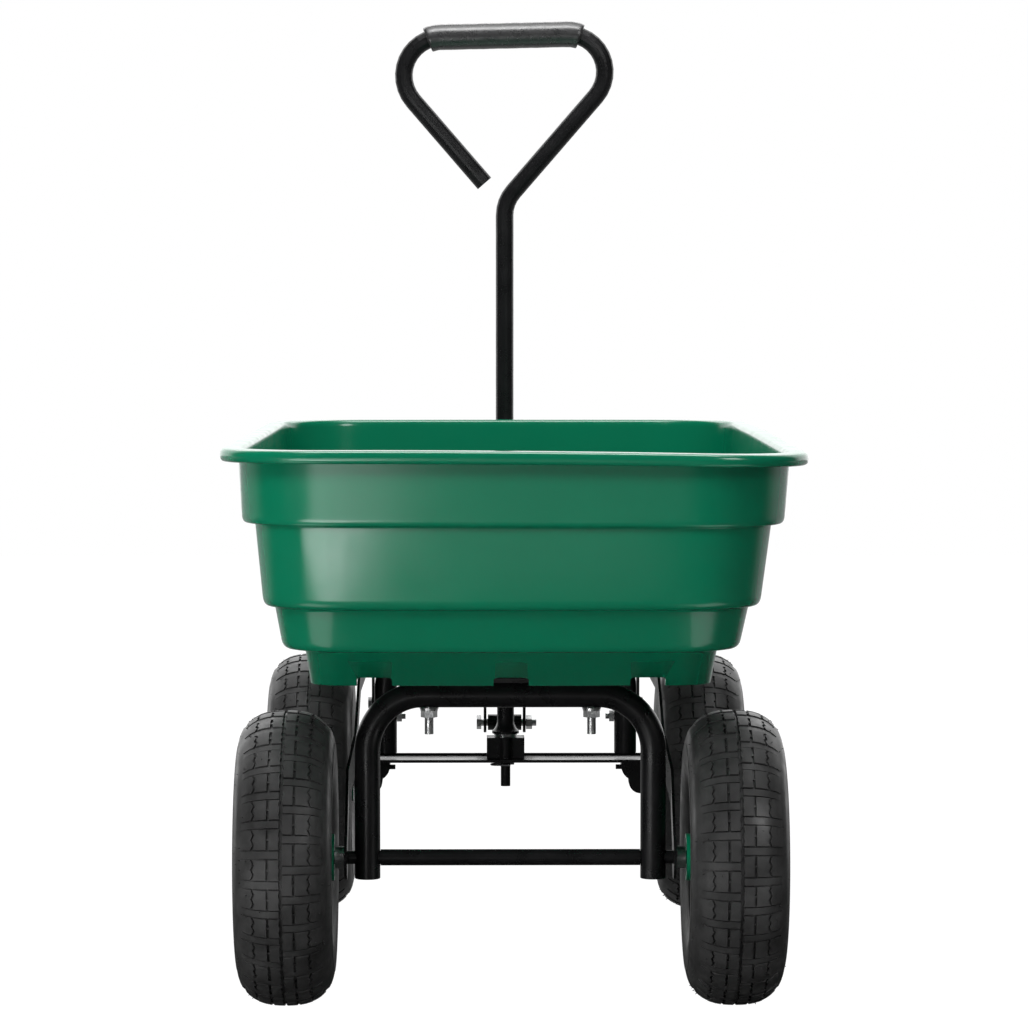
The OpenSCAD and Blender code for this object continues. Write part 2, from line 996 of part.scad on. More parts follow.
// Tube of the hub, with a seat for a bearing at each end
module hub()
{
    color(GREEN)
    difference()
    {
        translate([0, 0, hub_in - wheel_x]) cylinder(h = hub_out - hub_in, r = 21);
        translate([0, 0, hub_in - wheel_x - 1]) cylinder(h = 13, r = 17.5);
        translate([0, 0, hub_out - wheel_x - 12]) cylinder(h = 13, r = 17.5);
        translate([0, 0, hub_in - wheel_x - 1]) cylinder(h = 80, r = 15);
    }
}

module bearings()
{
    color(ZINC)
    for (z = [hub_in - wheel_x + 0.5, hub_out - wheel_x - 11.5])
        translate([0, 0, z])
            difference()
            {
                cylinder(h = 11, r = 17.45);
                translate([0, 0, -1]) cylinder(h = 13, d = axle_d + 2*run_gap);
                // groove between the inner and outer rings
                translate([0, 0, -1])
                    difference()
                    {
                        cylinder(h = 1.6, r = 13.5);
                        translate([0, 0, -1]) cylinder(h = 4, r = 9.5);
                    }
                translate([0, 0, 10.4])
                    difference()
                    {
                        cylinder(h = 1.6, r = 13.5);
                        translate([0, 0, -1]) cylinder(h = 4, r = 9.5);
                    }
            }
}

module rim_bolts()
{
    color(ZINC)
    for (a = [45:90:315])
        rotate([0, 0, a])
            translate([35, 0, 0])
            {
                translate([0, 0, -9]) cylinder(h = 12, r = 3);
                translate([0, 0, 2.25]) hex(10, 4);
                translate([0, 0, -7.3]) hex(10, 5);
            }
}

// ---------------------------------------------------------------- drawing

tub();
rear_hoop();
bed_strap();
tub_bolts();
tub_nuts();
tub_washers();
release_lever();
lever_knob();
rear_axle();
axle_sleeve();
rear_collars();
rear_nuts();
left_rail();
right_rail();
rail_bolts();
front_hoop();
steering_post();
kingpin();
steering_washer();
kingpin_clip();
axle_beam();
pivot_block();
front_knuckles();
stub_axles();
front_collars();
front_nuts();
handle_bracket();
handle_bolt();
handle_nut();
handle_tube();
handle_fork();
handle_grip();
wheel_place(-1, rear_y) tyre();  // rear_left_tyre
wheel_place(-1, rear_y) inner_tube();  // rear_left_inner_tube
wheel_place(-1, rear_y) rim_outer();  // rear_left_rim_outer
wheel_place(-1, rear_y) rim_inner();  // rear_left_rim_inner
wheel_place(-1, rear_y) hub();  // rear_left_hub
wheel_place(-1, rear_y) bearings();  // rear_left_bearings
wheel_place(-1, rear_y) rim_bolts();  // rear_left_rim_bolts
wheel_place(1, rear_y) tyre();  // rear_right_tyre
wheel_place(1, rear_y) inner_tube();  // rear_right_inner_tube
wheel_place(1, rear_y) rim_outer();  // rear_right_rim_outer
wheel_place(1, rear_y) rim_inner();  // rear_right_rim_inner
wheel_place(1, rear_y) hub();  // rear_right_hub
wheel_place(1, rear_y) bearings();  // rear_right_bearings
wheel_place(1, rear_y) rim_bolts();  // rear_right_rim_bolts
wheel_place(-1, front_y) tyre();  // front_left_tyre
wheel_place(-1, front_y) inner_tube();  // front_left_inner_tube
wheel_place(-1, front_y) rim_outer();  // front_left_rim_outer
wheel_place(-1, front_y) rim_inner();  // front_left_rim_inner
wheel_place(-1, front_y) hub();  // front_left_hub
wheel_place(-1, front_y) bearings();  // front_left_bearings
wheel_place(-1, front_y) rim_bolts();  // front_left_rim_bolts
wheel_place(1, front_y) tyre();  // front_right_tyre
wheel_place(1, front_y) inner_tube();  // front_right_inner_tube
wheel_place(1, front_y) rim_outer();  // front_right_rim_outer
wheel_place(1, front_y) rim_inner();  // front_right_rim_inner
wheel_place(1, front_y) hub();  // front_right_hub
wheel_place(1, front_y) bearings();  // front_right_bearings
wheel_place(1, front_y) rim_bolts();  // front_right_rim_bolts
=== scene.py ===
import math
import random

import bmesh
import bpy
from mathutils import Matrix, Vector


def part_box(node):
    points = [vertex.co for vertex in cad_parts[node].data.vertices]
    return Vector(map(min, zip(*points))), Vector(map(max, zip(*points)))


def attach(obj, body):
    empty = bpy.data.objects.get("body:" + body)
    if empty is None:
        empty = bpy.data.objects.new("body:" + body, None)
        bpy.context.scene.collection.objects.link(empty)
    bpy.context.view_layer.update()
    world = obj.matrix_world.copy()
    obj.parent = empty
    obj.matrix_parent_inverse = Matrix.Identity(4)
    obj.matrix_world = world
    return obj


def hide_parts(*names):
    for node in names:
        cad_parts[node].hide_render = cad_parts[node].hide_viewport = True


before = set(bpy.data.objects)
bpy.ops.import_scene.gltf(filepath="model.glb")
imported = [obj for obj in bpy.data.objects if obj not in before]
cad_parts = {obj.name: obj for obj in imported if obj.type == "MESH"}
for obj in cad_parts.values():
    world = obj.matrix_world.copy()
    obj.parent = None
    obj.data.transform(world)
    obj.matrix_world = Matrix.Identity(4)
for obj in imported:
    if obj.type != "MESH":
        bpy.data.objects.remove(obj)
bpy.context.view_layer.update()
MM = 0.001


def centre_of(node):
    lo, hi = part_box(node)
    return (Vector(lo) + Vector(hi)) / 2


def clamp(value):
    return max(0.0, min(1.0, value))


# ------------------------------------------------------------------ node helpers


def map_range(tree, value, low, high, a, b):
    """Adds a node that maps a value from low..high to a..b."""
    n = tree.nodes.new("ShaderNodeMapRange")
    for key, number in (("From Min", low), ("From Max", high), ("To Min", a), ("To Max", b)):
        n.inputs[key].default_value = number
    tree.links.new(value, n.inputs["Value"])
    return n.outputs["Result"]


def mix_shaders(tree, factor, first, second):
    n = tree.nodes.new("ShaderNodeMixShader")
    tree.links.new(factor, n.inputs["Fac"])
    tree.links.new(first, n.inputs[1])
    tree.links.new(second, n.inputs[2])
    return n.outputs["Shader"]


def white(tree, kind, strength):
    """Adds a white background or emission, its strength a number or another node's output."""
    n = tree.nodes.new(kind)
    n.inputs["Color"].default_value = (1, 1, 1, 1)
    if isinstance(strength, float):
        n.inputs["Strength"].default_value = strength
    else:
        tree.links.new(strength, n.inputs["Strength"])
    return n.outputs[0]


def axes(tree, space):
    """The X, Y and Z outputs of the texture coordinates in a space."""
    coords = tree.nodes.new("ShaderNodeTexCoord")
    split = tree.nodes.new("ShaderNodeSeparateXYZ")
    tree.links.new(coords.outputs[space], split.inputs["Vector"])
    return split.outputs


# ------------------------------------------------------------------ materials


class Shader:
    """A node material under construction. A noise of scale n has features about 1/n m across."""

    def __init__(self, name):
        self.mat = bpy.data.materials.new(name)
        self.mat.use_nodes = True
        self.tree = self.mat.node_tree
        self.bsdf = self.tree.nodes["Principled BSDF"]
        self.coords = self.tree.nodes.new("ShaderNodeTexCoord").outputs["Object"]
        self.normal = None

    def link(self, a, b):
        self.tree.links.new(a, b)

    def noise(self, scale, detail=3.0, rough=0.5, stretch=None):
        n = self.tree.nodes.new("ShaderNodeTexNoise")
        n.inputs["Scale"].default_value = scale
        n.inputs["Detail"].default_value = detail
        n.inputs["Roughness"].default_value = rough
        source = self.coords
        if stretch:
            m = self.tree.nodes.new("ShaderNodeMapping")
            m.inputs["Scale"].default_value = stretch
            self.link(source, m.inputs["Vector"])
            source = m.outputs["Vector"]
        self.link(source, n.inputs["Vector"])
        return n.outputs["Fac"]

    def colour(self, fac, low, high, a, b):
        """Fades the base colour from a to b as the factor goes from low to high."""
        r = self.tree.nodes.new("ShaderNodeValToRGB")
        r.color_ramp.elements[0].position = low
        r.color_ramp.elements[1].position = high
        r.color_ramp.elements[0].color = (*a, 1)
        r.color_ramp.elements[1].color = (*b, 1)
        self.link(fac, r.inputs["Fac"])
        self.link(r.outputs["Color"], self.bsdf.inputs["Base Color"])

    def roughness(self, fac, low, high, a, b):
        self.link(map_range(self.tree, fac, low, high, a, b), self.bsdf.inputs["Roughness"])

    def bump(self, fac, strength, distance):
        """Adds a bump on top of those added before."""
        n = self.tree.nodes.new("ShaderNodeBump")
        n.inputs["Strength"].default_value = strength
        n.inputs["Distance"].default_value = distance
        self.link(fac, n.inputs["Height"])
        if self.normal:
            self.link(self.normal, n.inputs["Normal"])
        self.normal = n.outputs["Normal"]
        self.link(self.normal, self.bsdf.inputs["Normal"])

    def set(self, **values):
        for key, value in values.items():
            self.bsdf.inputs[key.replace("_", " ")].default_value = value


def make_green_plastic():
    s = Shader("green_plastic")
    s.colour(s.noise(5.0, 2.0), 0.3, 0.7, (0.0007, 0.118, 0.058), (0.001, 0.131, 0.065))
    s.roughness(s.noise(38.0, 4.0), 0.3, 0.7, 0.17, 0.235)
    # the slow waves of a large moulding, then its fine grain
    s.bump(s.noise(11.0, 1.0), 0.12, 0.0012)
    s.bump(s.noise(420.0, 2.0), 0.05, 0.0003)
    s.set(IOR=1.5, Specular_IOR_Level=0.5, Coat_Weight=0.15, Coat_Roughness=0.12)
    return s.mat


def make_black_paint():
    s = Shader("black_paint")
    s.colour(s.noise(30.0, 4.0), 0.3, 0.7, (0.0045, 0.0045, 0.0048), (0.0075, 0.0075, 0.008))
    s.roughness(s.noise(60.0, 3.0), 0.3, 0.7, 0.24, 0.36)
    s.bump(s.noise(240.0, 1.5), 0.05, 0.0003)
    s.bump(s.noise(60.0, 2.0), 0.04, 0.0005)
    s.set(IOR=1.45, Specular_IOR_Level=0.36, Coat_Weight=0.06, Coat_Roughness=0.2)
    return s.mat


def make_green_paint():
    s = Shader("green_paint")
    s.colour(s.noise(24.0, 3.0), 0.3, 0.7, (0.001, 0.12, 0.058), (0.0016, 0.145, 0.07))
    s.roughness(s.noise(90.0, 3.0), 0.3, 0.7, 0.26, 0.38)
    s.bump(s.noise(240.0, 1.5), 0.05, 0.0003)
    s.set(IOR=1.5, Coat_Weight=0.15, Coat_Roughness=0.15)
    return s.mat


def make_zinc():
    s = Shader("zinc")
    s.colour(s.noise(140.0, 4.0, 0.6), 0.35, 0.65, (0.58, 0.59, 0.6), (0.78, 0.79, 0.78))
    s.roughness(s.noise(260.0, 4.0, 0.6), 0.3, 0.7, 0.24, 0.46)
    s.bump(s.noise(900.0, 3.0), 0.12, 0.0002)
    s.set(Metallic=1.0)
    return s.mat


def make_rubber(name, low, high):
    s = Shader(name)
    s.colour(s.noise(46.0, 5.0, 0.62), 0.3, 0.72, (low,) * 3, (high,) * 3)
    s.roughness(s.noise(70.0, 4.0), 0.3, 0.7, 0.34, 0.5)
    s.bump(s.noise(700.0, 4.0, 0.6), 0.22, 0.0004)
    s.bump(s.noise(90.0, 3.0), 0.1, 0.0006)
    s.set(IOR=1.52, Specular_IOR_Level=0.42)
    return s.mat


def make_black_plastic():
    s = Shader("black_plastic")
    s.colour(s.noise(40.0, 3.0), 0.3, 0.7, (0.012,) * 3, (0.02,) * 3)
    s.roughness(s.noise(120.0, 3.0), 0.3, 0.7, 0.38, 0.5)
    s.bump(s.noise(900.0, 2.0), 0.2, 0.0003)
    return s.mat


def make_grip_foam():
    s = Shader("grip_foam")
    s.colour(s.noise(80.0, 5.0, 0.6), 0.3, 0.7, (0.013, 0.013, 0.0135), (0.021, 0.021, 0.0215))
    s.roughness(s.noise(150.0, 3.0), 0.3, 0.7, 0.24, 0.34)
    # the foam's cells, then wrinkles that are longer along the sleeve
    s.bump(s.noise(1500.0, 3.0, 0.6), 0.25, 0.0003)
    s.bump(s.noise(60.0, 2.0, 0.5, (0.4, 1.0, 1.0)), 0.18, 0.0012)
    s.set(IOR=1.55, Specular_IOR_Level=0.8, Sheen_Weight=0.05, Sheen_Roughness=0.5)
    return s.mat


MATERIALS = {
    "green_plastic": make_green_plastic(),
    "black_paint": make_black_paint(),
    "green_paint": make_green_paint(),
    "zinc": make_zinc(),
    "tyre_rubber": make_rubber("tyre_rubber", 0.017, 0.04),
    "tube_rubber": make_rubber("tube_rubber", 0.02, 0.03),
    "black_plastic": make_black_plastic(),
    "grip_foam": make_grip_foam(),
}

# a node's finish by its name, or by the end of its name on a wheel; the rest is black paint
FINISHES = {
    "tub": "green_plastic", "lever_knob": "black_plastic", "handle_grip": "grip_foam",
    **dict.fromkeys((
        "tub_bolts", "tub_nuts", "tub_washers", "rear_collars", "rear_nuts", "rail_bolts",
        "steering_washer", "kingpin_clip", "front_collars", "front_nuts", "handle_bolt",
        "handle_nut"), "zinc"),
}
WHEEL_FINISHES = {
    "_tyre": "tyre_rubber", "_inner_tube": "tube_rubber", "_rim_outer": "green_paint",
    "_rim_inner": "green_paint", "_hub": "green_paint", "_bearings": "zinc",
    "_rim_bolts": "zinc",
}


def finish_of(node):
    if node in FINISHES:
        return FINISHES[node]
    for ending, finish in WHEEL_FINISHES.items():
        if node.endswith(ending):
            return finish
    return "black_paint"


for node_name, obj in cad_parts.items():
    obj.data.materials.clear()
    obj.data.materials.append(MATERIALS[finish_of(node_name)])

# ------------------------------------------------------------------ mesh helpers


def smooth(mesh, sharp):
    """Shades a mesh smooth, but for edges sharper than the angle in degrees."""
    mesh.polygons.foreach_set("use_smooth", [True] * len(mesh.polygons))
    mesh.set_sharp_from_angle(angle=math.radians(sharp))


def add_mesh(name, verts, faces, finish, sharp=35.0):
    """Makes an object from points in metres."""
    mesh = bpy.data.meshes.new(name)
    mesh.from_pydata([tuple(v) for v in verts], [], faces)
    bm = bmesh.new()
    bm.from_mesh(mesh)
    bmesh.ops.recalc_face_normals(bm, faces=bm.faces)
    bm.to_mesh(mesh)
    bm.free()
    smooth(mesh, sharp)
    mesh.materials.append(MATERIALS[finish])
    obj = bpy.data.objects.new(name, mesh)
    bpy.context.scene.collection.objects.link(obj)
    return obj


def bridge(faces, a, b, n):
    """Adds the quads between two closed rings of n points, which start at a and b."""
    for k in range(n):
        j = (k + 1) % n
        faces.append((a + k, a + j, b + j, b + k))


def join_rings(verts, faces, rings):
    """Adds closed rings of equal length and the quads between them."""
    start = len(verts)
    n = len(rings[0])
    for ring in rings:
        verts.extend(ring)
    for i in range(len(rings) - 1):
        bridge(faces, start + i * n, start + (i + 1) * n, n)
    return start


def join_capped(verts, faces, rings):
    """Joins rings and closes the first and the last with a face."""
    start = join_rings(verts, faces, rings)
    n = len(rings[0])
    faces.append(tuple(range(start, start + n)))
    faces.append(tuple(reversed(range(len(verts) - n, len(verts)))))


def join_loop(verts, faces, rings):
    """Joins rings, and the last to the first."""
    start = join_rings(verts, faces, rings)
    n = len(rings[0])
    bridge(faces, len(verts) - n, start, n)


def rounded(points, radii, steps):
    """Rounds the corners of an open path of vectors, each corner by its own distance."""
    most = 0.48    # of a stretch that one corner may take
    out = [points[0]]
    for i in range(1, len(points) - 1):
        p, q, r = points[i - 1], points[i], points[i + 1]
        d = radii[i]
        back = math.dist(p, q)
        on = math.dist(q, r)
        if d <= 0 or back == 0 or on == 0:
            out.append(q)
            continue
        d_in, d_out = min(d, back * most), min(d, on * most)
        a = [qi + (pi - qi) * d_in / back for pi, qi in zip(p, q)]
        b = [qi + (ri - qi) * d_out / on for ri, qi in zip(r, q)]
        for s in range(steps + 1):
            t = s / steps
            out.append([
                (1 - t) ** 2 * x + 2 * t * (1 - t) * y + t * t * z
                for x, y, z in zip(a, q, b)
            ])
    out.append(points[-1])
    return out


# ------------------------------------------------------------------ tub


def tub_outline(level, rear, front, rim_half):
    """Points in metres round the tub at a level, from its rear left corner."""
    taper = 6.5         # how much narrower each side is at the front
    bow = 12.0          # how far the ends stand out in the middle
    lean = 2.5          # how far the upper part leans to the right
    least_radius = 3.0
    end_steps, side_steps, corner_steps = 20, 10, 12

    z, half, rear_inset, front_inset, r = level
    r = max(r, least_radius)
    xr = half - r
    xf = half - taper - r
    yr = rear + rear_inset + r
    yf = front - front_inset - r
    pts = []

    def run(steps, point):
        pts.extend(point(i / steps) for i in range(steps))

    def corner(point):
        for i in range(corner_steps):
            a = math.pi / 2 * i / corner_steps
            pts.append(point(r * math.sin(a), r * math.cos(a)))

    run(end_steps, lambda t: (xr * (-1 + 2 * t), yr - r))
    corner(lambda s, c: (xr + s, yr - c))
    run(side_steps, lambda t: (xr + (xf - xr) * t + r, yr + (yf - yr) * t))
    corner(lambda s, c: (xf + c, yf + s))
    run(end_steps, lambda t: (xf * (1 - 2 * t), yf + r))
    corner(lambda s, c: (-xf - s, yf + c))
    run(side_steps, lambda t: (-xf - r + (xf - xr) * t, yf + (yr - yf) * t))
    corner(lambda s, c: (-xr - c, yr - s))

    out = []
    for x, y in pts:
        across = min(1.0, abs(x) / rim_half)
        sink = bow * across * across
        blend = clamp(abs(y) / (0.5 * (front - rear)))
        # the rim has settled a little lower at the rear corners, the right most
        settle = (2.2 * x / 250 + 2.4 * (x / 250) ** 2)
        settle *= clamp((50 - y) / 500) * clamp((z - 400) / 106)
        x += lean * clamp((z - 340) / 150)
        out.append(Vector((x, y + sink * (1 if y < 0 else -1) * blend, z - settle)) * MM)
    return out


def tub_levels(rim_half):
    """The tub's wall in section: up the inside, over the rolled rim, down the outside and up
    inside the skirt. A level is a height, half width, inset from the rim at the rear and at the
    front, and corner radius, in mm."""
    wall, skirt_wall = 3.5, 9
    floor_top, floor_turn = 308, 8
    inner_step3, inner_step2, inner_step1 = 333, 371, 443
    lip_top, lip_low, lip_under = 506.0, 494.5, 501
    skirt_low, skirt_roof = 295, 304

    band1 = ([503, 240.5, 16, 16, 84], [441, 236.2, 20, 20, 80])
    band2 = ([439, 224.5, 27, 25, 66], [369, 216.5, 37, 32, 60])
    band3 = ([366, 206.5, 47, 40, 54], [330, 199.5, 64, 46, 46])
    foot = ([330, 180, 72, 54, 34], [295, 177, 126, 60, 30])

    def inside(level, z, t=wall):
        return [z, level[1] - t, level[2] + t, level[3] + t, level[4] - t]

    def between(high, low, z):
        f = (z - low[0]) / (high[0] - low[0])
        return [z] + [a + (b - a) * f for a, b in zip(low[1:], high[1:])]

    def at(level, z):
        return [z] + level[1:]

    floor_edge = inside(between(*foot, floor_top), floor_top)
    z, half, rear_inset, front_inset, r = floor_edge
    floor_middle = [z, half - floor_turn, rear_inset + floor_turn, front_inset + floor_turn, r]

    # each level with the distance by which its corner in the section is rounded
    section = [
        (floor_middle, 0), (floor_edge, 6),
        (inside(foot[0], inner_step3), 5), (inside(band3[1], inner_step3), 5),
        (inside(band3[0], inner_step2), 2.5), (inside(band2[1], inner_step2), 4),
        (inside(band2[0], inner_step1), 2), (inside(band1[1], inner_step1), 4),
        (inside(band1[0], 506), 7),
        ([lip_top, rim_half, 0, 0, 87], 9.7), ([lip_low, rim_half, 0, 0, 87], 7.5),
        ([lip_low, rim_half - 8, 8, 8, 85], 1), ([lip_under, rim_half - 8.5, 8.5, 8.5, 85], 2),
        (at(band1[0], lip_under), 2.5), (band1[1], 7),
        (at(band2[0], 440.6), 2.2), (band2[1], 8),
        (at(band3[0], 367.2), 2.2), (band3[1], 9),
        (at(foot[0], 329.6), 5), (foot[1], 1.2),
        (inside(foot[1], skirt_low, skirt_wall), 1.2),
        (inside(foot[1], skirt_roof, skirt_wall), 2), (inside(foot[1], skirt_roof, 30), 0),
    ]
    return rounded([level for level, _ in section], [d for _, d in section], 5)


def cut_notches(tub, rear, front):
    """Cuts the notches in the ends of the tub's skirt."""
    outline = ((-15.5, 280), (15.5, 280), (15.5, 301.5), (13.5, 303.5),
               (-13.5, 303.5), (-15.5, 301.5))
    verts, faces = [], []
    for x in (-120, 0, 120):
        for y0, y1 in ((rear + 20, rear + 170), (front - 150, front - 20)):
            join_capped(verts, faces, [
                [Vector((x + dx, y, z)) * MM for dx, z in outline] for y in (y0, y1)
            ])
    cutter = add_mesh("cutter", verts, faces, "green_plastic")
    cut = tub.modifiers.new("notches", "BOOLEAN")
    cut.operation = "DIFFERENCE"
    cut.solver = "EXACT"
    cut.object = cutter
    depsgraph = bpy.context.evaluated_depsgraph_get()
    mesh = bpy.data.meshes.new_from_object(tub.evaluated_get(depsgraph))
    tub.modifiers.clear()
    tub.data = mesh
    mesh.name = "tub_shell"
    bpy.data.objects.remove(cutter)
    smooth(mesh, 38)


def make_feet():
    """The round feet of the tub on the two hoops."""
    sides = 32
    rear_y = centre_of("rear_axle").y / MM
    front_y = centre_of("kingpin").y / MM
    verts, faces = [], []
    for x, y in ((-73, rear_y), (73, rear_y), (-60, front_y), (60, front_y)):
        join_capped(verts, faces, [
            [
                Vector((x + r * math.cos(a), y + r * math.sin(a), z)) * MM
                for a in (math.tau * k / sides for k in range(sides))
            ]
            for z, r in ((305, 15), (293.5, 15), (292.2, 14.6), (291.4, 13.6), (291.4, 5))
        ])
    return add_mesh("tub_feet", verts, faces, "green_plastic")


def make_tub():
    lo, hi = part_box("tub")
    rim_half = hi[0] / MM
    rear, front = lo[1] / MM, hi[1] / MM

    verts, faces = [], []
    join_capped(verts, faces, [
        tub_outline(level, rear, front, rim_half) for level in tub_levels(rim_half)
    ])
    tub = add_mesh("tub_shell", verts, faces, "green_plastic", 50)
    cut_notches(tub, rear, front)
    feet = make_feet()

    for piece in (tub, feet):
        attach(piece, "bed")
    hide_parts("tub")
    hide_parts("tub")


# ------------------------------------------------------------------ tyres

TYRE_HALF = 43.5     # half the width
CROWN_R = 132.5      # radius over the tread
BULGE_R = 94.0       # radius where the tyre is widest
BEAD_R = 63          # radius where the sidewall meets the rim
BEAD_HALF = 28       # half the width there
SQUARENESS = 0.8     # below 1, the tread's section is squarer than an ellipse
FULLNESS = 0.9       # the same for the sidewall
GROOVE = 2.7         # depth of the grooves in the middle
LUG_ROOT = 3.2       # how deep a lug starts
DRAFT = 0.35         # how far a lug widens to its root
AROUND = 120         # steps round the tyre


def crown_radius(a):
    """Radius of the tread at an angle from the middle of its section."""
    return BULGE_R + (CROWN_R - BULGE_R) * math.cos(a) ** SQUARENESS


def tread_point(arc, side, depth):
    """Point on the tread at an arc length round the crown and a distance from the middle."""
    last = 0.999
    share = min(last, abs(side) / TYRE_HALF)
    ahead = min(last, share + 0.01)
    radius = crown_radius(math.asin(share ** (1 / SQUARENESS)))
    radius_ahead = crown_radius(math.asin(ahead ** (1 / SQUARENESS)))
    dx, dr = (ahead - share) * TYRE_HALF, radius_ahead - radius
    size = math.hypot(dx, dr) or 1.0
    nx, nr = -dr / size, dx / size
    radius -= nr * depth
    x = (abs(side) - nx * depth) * (1 if side >= 0 else -1)
    a = arc / CROWN_R
    return Vector((x, radius * math.cos(a), radius * math.sin(a))) * MM


def add_lug(verts, faces, u0, u1, near, far, top, nu, ns):
    """Raised block between two arcs and two side lines, from its root to its top's depth, in
    nu by ns steps. The side lines are functions of the share of the way from u0 to u1."""
    start = len(verts)
    for i in range(nu + 1):
        u = u0 + (u1 - u0) * i / nu
        a, b = near(i / nu), far(i / nu)
        for j in range(ns + 1):
            verts.append(tread_point(u, a + (b - a) * j / ns, top))
    for i in range(nu):
        for j in range(ns):
            a = start + i * (ns + 1) + j
            faces.append((a, a + 1, a + ns + 2, a + ns + 1))
    edge = [(0, j) for j in range(ns + 1)]
    edge += [(i, ns) for i in range(1, nu + 1)]
    edge += [(nu, j) for j in range(ns - 1, -1, -1)]
    edge += [(i, 0) for i in range(nu - 1, 0, -1)]
    low = len(verts)
    for i, j in edge:
        u = u0 + (u1 - u0) * i / nu
        u += DRAFT if i == nu else (-DRAFT if i == 0 else 0)
        a, b = near(i / nu), far(i / nu)
        outwards = DRAFT if b > a else -DRAFT
        s = a + (b - a) * j / ns
        s += outwards if j == ns else (-outwards if j == 0 else 0)
        verts.append(tread_point(u, s, LUG_ROOT))
    m = len(edge)
    for k in range(m):
        i, j = edge[k]
        i2, j2 = edge[(k + 1) % m]
        a = start + i * (ns + 1) + j
        b = start + i2 * (ns + 1) + j2
        faces.append((a, b, low + (k + 1) % m, low + k))
    faces.append(tuple(low + k for k in range(m)))


def add_carcass(verts, faces):
    """The tyre without its lugs, outside and inside, which is open to the inner tube."""
    tread_edge = 58    # degrees from the middle
    half = []
    for t in range(0, 91, 6):
        a = math.radians(t)
        radius = crown_radius(a)
        if t < tread_edge:
            share = max(0.0, 1 - t / tread_edge)
            radius -= GROOVE * (0.35 + 0.65 * share ** 0.5)
        half.append((radius, TYRE_HALF * math.sin(a) ** SQUARENESS))
    for t in range(10, 91, 8):
        a = math.radians(t)
        half.append((BULGE_R - (BULGE_R - BEAD_R) * math.sin(a) ** FULLNESS,
                     BEAD_HALF + (TYRE_HALF - BEAD_HALF) * math.cos(a)))
    half += [(61.2, 26.5), (60.5, 24.8), (51.3, 24), (51.3, 14), (57, 14)]
    inner = [
        (BULGE_R - 31 * math.cos(math.radians(t)), 30 * math.sin(math.radians(t)))
        for t in range(40, 181, 20)
    ]
    section = [(r, -s) for r, s in reversed(half)] + half[1:]
    section += inner + [(r, -s) for r, s in reversed(inner[:-1])]
    rings = []
    for k in range(AROUND):
        a = math.tau * k / AROUND
        rings.append([Vector((s, r * math.cos(a), r * math.sin(a))) * MM for r, s in section])
    join_loop(verts, faces, rings)


def add_tread(verts, faces):
    pitches = 31
    pitch = math.tau * CROWN_R / pitches
    block = 8.9         # half length of a block round the tyre
    bar = 3.1           # half length of the low bar between two blocks
    shallow = 0.9       # depth of the low bars' tops

    def flat(value):
        return lambda f: value

    def zigzag(value, size):
        def edge(f):
            g = (f * 2) % 1.0
            return value + size * (4 * abs(g - 0.5) - 1)
        return edge

    for sign in (-1, 1):
        shift = 0.0 if sign < 0 else 0.5
        for i in range(pitches):
            u = (i + shift) * pitch
            a, b = u - block, u + block
            add_lug(verts, faces, a, b, zigzag(sign * 1.5, 0.5), flat(sign * 10.2), 0, 4, 2)
            add_lug(verts, faces, a, b, flat(sign * 12.6), zigzag(sign * 23.2, sign * 0.9),
                    0, 4, 2)
            add_lug(verts, faces, a, b, zigzag(sign * 25.4, sign * 0.9), flat(sign * 35.5),
                    0.25, 4, 3)
            add_lug(verts, faces, u - 0.9, u + 0.9, flat(sign * 9.8), flat(sign * 13),
                    shallow, 1, 1)
            a, b = u + pitch / 2 - bar, u + pitch / 2 + bar
            add_lug(verts, faces, a, b, flat(sign * 1.6), flat(sign * 38.5), shallow, 1, 8)


def add_hairs(verts, faces):
    """Moulding hairs on the shoulders and the blocks."""
    rng = random.Random(7)
    count, sides = 110, 5
    lines = (30.0, 33.5, 36.5, 39.5, 41.5, 18.0)    # distances from the middle
    r = 0.35 * MM
    for _ in range(count):
        u = rng.uniform(0, math.tau * CROWN_R)
        side = rng.choice((-1, 1)) * rng.choice(lines)
        base = tread_point(u, side, 0.6)
        tip = tread_point(u + rng.uniform(-0.5, 0.5), side, -rng.uniform(0.6, 1.5))
        along = (tip - base).normalized()
        right = along.orthogonal().normalized()
        up = along.cross(right)
        join_capped(verts, faces, [
            [
                end + (right * math.cos(q) + up * math.sin(q)) * r * width
                for q in (math.tau * k / sides for k in range(sides))
            ]
            for end, width in ((base, 1.5), (tip, 0.7))
        ])


def add_sidewall_rings(verts, faces):
    """Raised rings on the sidewalls."""
    proud, root = 0.55, -1.2
    for sign in (-1, 1):
        for r0, width in ((101.5, 1.6), (68.5, 2.2)):
            if r0 > BULGE_R:
                cos_t = ((r0 - BULGE_R) / (CROWN_R - BULGE_R)) ** (1 / SQUARENESS)
                side = TYRE_HALF * math.sin(math.acos(cos_t)) ** SQUARENESS
            else:
                g = min(1.0, (BULGE_R - r0) / (BULGE_R - BEAD_R)) ** (1 / FULLNESS)
                side = BEAD_HALF + (TYRE_HALF - BEAD_HALF) * math.cos(math.asin(g))
            section = [
                (r0 + share * width, min(side + lift, TYRE_HALF - 0.05))
                for share, lift in ((-1, root), (-0.5, proud), (0.5, proud), (1, root))
            ]
            join_loop(verts, faces, [
                [Vector((sign * x, r * math.cos(a), r * math.sin(a))) * MM for r, x in section]
                for a in (math.tau * k / AROUND for k in range(AROUND))
            ])


